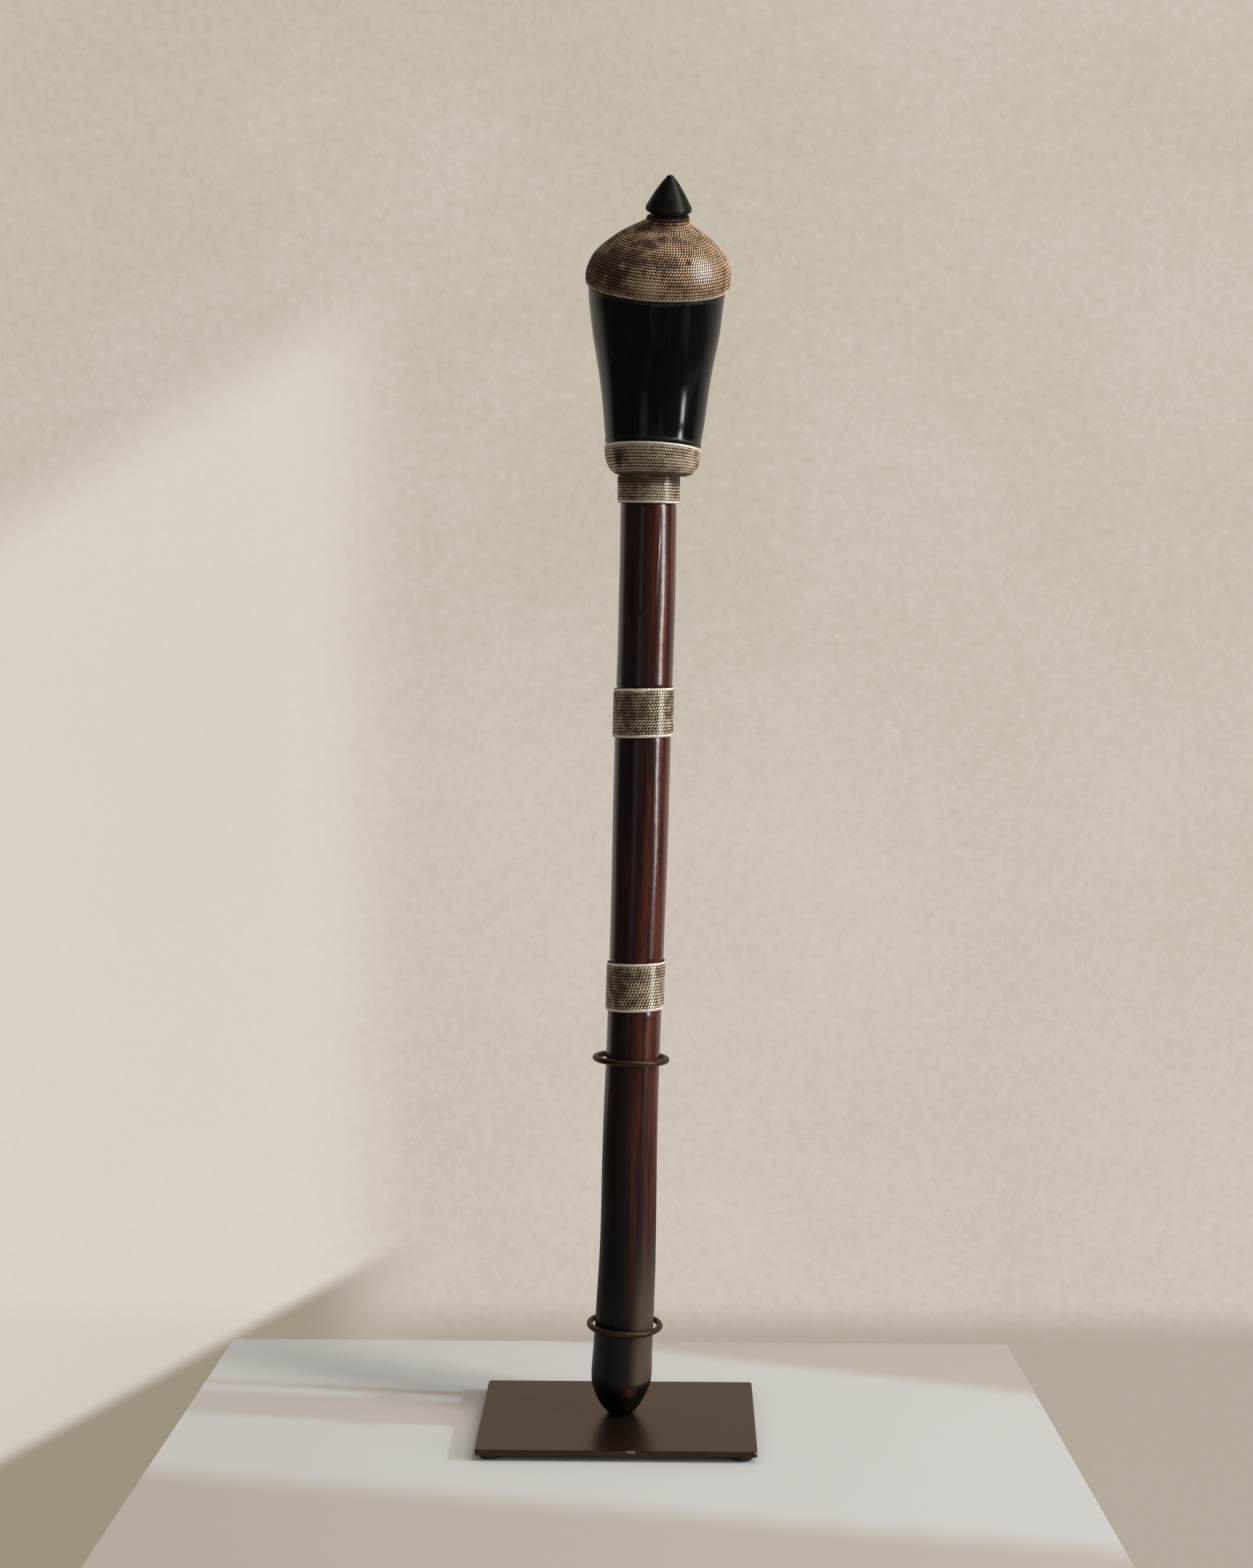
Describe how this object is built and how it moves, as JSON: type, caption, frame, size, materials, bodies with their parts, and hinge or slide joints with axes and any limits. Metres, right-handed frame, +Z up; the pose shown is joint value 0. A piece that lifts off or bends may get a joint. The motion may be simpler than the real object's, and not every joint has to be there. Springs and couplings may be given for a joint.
{
  "type": "wooden staff on display stand",
  "caption": "Carved wooden staff with a bulbous black head, cone finial and wire-wound cap, collar and bands, held upright by rings on a flat steel stand.",
  "frame": {"origin": "under the middle of the base plate, on the surface that the feet rest on", "axes": "+Z up along the staff, +X to the right and -Y towards the viewer, along the plate's long and short sides"},
  "size_m": [0.152, 0.101, 0.68],
  "materials": {
    "red_wood": "dark red-brown hardwood, oiled and rubbed to a gloss",
    "black_wood": "blackened hardwood, high gloss",
    "finial_wood": "blackened hardwood, satin",
    "copper_wire": "twisted copper-coloured wire with brown patina",
    "silver_wire": "twisted pale wire with dark grime between the turns",
    "black_steel": "satin black",
    "screw_steel": "bright zinc",
    "foot_rubber": "matt black"
  },
  "bodies": {
    "stand": {"base_plate": "black_steel", "post": "black_steel", "lower_ring": "black_steel", "upper_ring": "black_steel", "post_screw": "screw_steel", "front_left_foot": "foot_rubber", "front_right_foot": "foot_rubber", "back_left_foot": "foot_rubber", "back_right_foot": "foot_rubber"},
    "staff": {"shaft": "red_wood", "head": "black_wood", "finial": "finial_wood", "cap_winding": "copper_wire", "collar_winding": "silver_wire", "neck_winding": "silver_wire", "upper_band": "silver_wire", "lower_band": "silver_wire"}
  },
  "joints": [
    {"name": "staff_lift", "type": "slide", "parent": "stand", "child": "staff", "axis": [0.033, 0.025, 0.9991], "range_m": [0, 0.215]}
  ]
}
